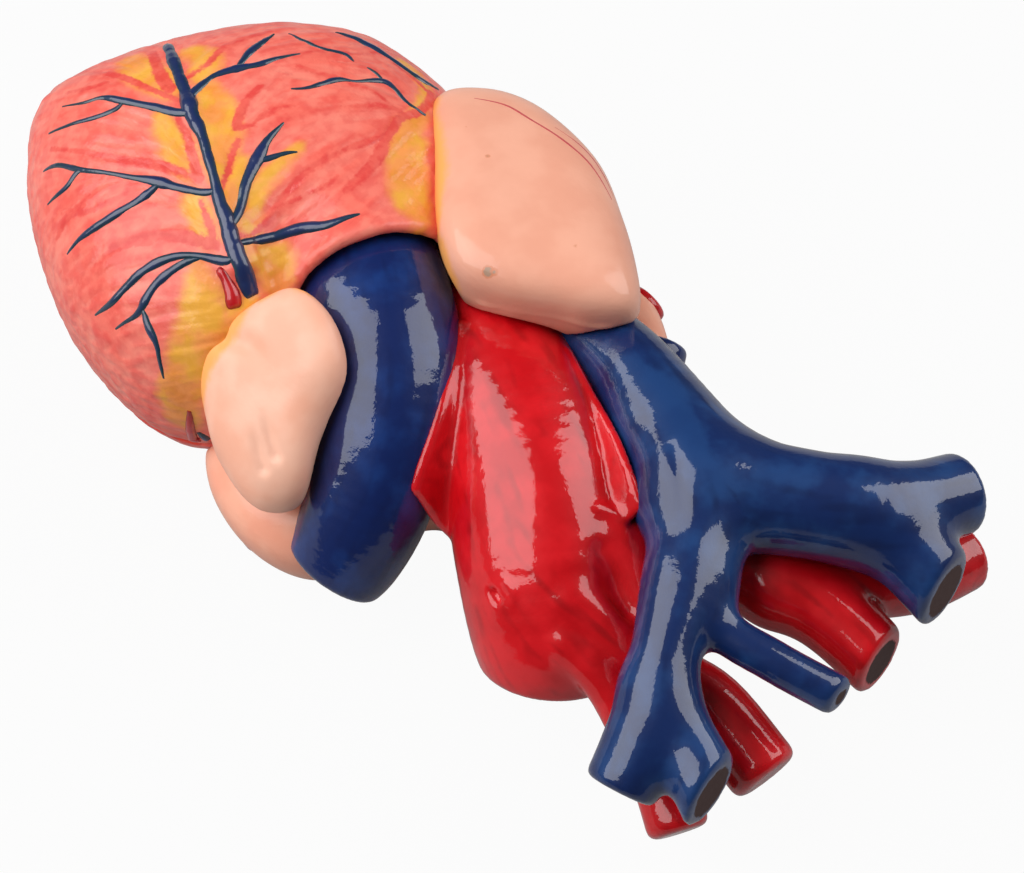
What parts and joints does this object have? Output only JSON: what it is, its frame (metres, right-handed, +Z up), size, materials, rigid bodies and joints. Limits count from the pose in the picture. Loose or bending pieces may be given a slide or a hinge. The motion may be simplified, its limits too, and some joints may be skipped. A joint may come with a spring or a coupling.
{
  "type": "anatomical heart model",
  "caption": "Life-size model of the human heart with its great vessels, lying on its back; the front wall of the ventricles lifts off to show the chambers and valves.",
  "frame": {"origin": "on the flat resting plane, under the middle of the ventricles' rear wall", "axes": "+Y from the tip of the ventricles towards the great vessels; +Z up, out of the front of the heart; +X towards the patient's left"},
  "size_m": [0.1121, 0.2124, 0.0645],
  "materials": {
    "muscle": "hand-painted coral pink with a high-gloss lacquer",
    "chamber": "painted pink, glossy",
    "atrium": "painted salmon with a high-gloss lacquer",
    "artery": "painted red with a high-gloss lacquer",
    "vein": "painted blue with a high-gloss lacquer",
    "pulmonary": "painted navy blue with a high-gloss lacquer",
    "valve": "painted cream, satin",
    "steel": "plain"
  },
  "bodies": {
    "heart_base": {"rear_shell": "muscle", "septum": "chamber", "valve_plate": "chamber", "tricuspid_valve": "valve", "mitral_valve": "valve", "pulmonary_valve": "valve", "aortic_valve": "valve", "anterior_papillary_right": "chamber", "posterior_papillary_right": "chamber", "anterior_papillary_left": "chamber", "posterior_papillary_left": "chamber", "left_atrium": "atrium", "right_atrium": "atrium", "aorta": "artery", "brachiocephalic_artery": "artery", "left_carotid_artery": "artery", "left_subclavian_artery": "artery", "pulmonary_trunk": "pulmonary", "right_pulmonary_artery": "pulmonary", "superior_vena_cava": "vein", "left_brachiocephalic_vein": "vein", "thyroid_vein": "vein", "inferior_vena_cava": "vein", "right_upper_pulmonary_vein": "artery", "right_lower_pulmonary_vein": "artery", "left_upper_pulmonary_vein": "artery", "left_lower_pulmonary_vein": "artery", "locating_pin_1": "steel", "locating_pin_2": "steel", "rear_magnet_1": "steel", "rear_magnet_2": "steel", "rear_magnet_3": "steel"},
    "front_wall": {"front_wall": "muscle", "right_auricle": "atrium", "left_auricle": "atrium", "front_magnet_1": "steel", "front_magnet_2": "steel", "front_magnet_3": "steel"}
  },
  "joints": [
    {"name": "front_wall_lift", "type": "slide", "parent": "heart_base", "child": "front_wall", "axis": [0, 0, 1], "range_m": [0, 0.1]}
  ]
}
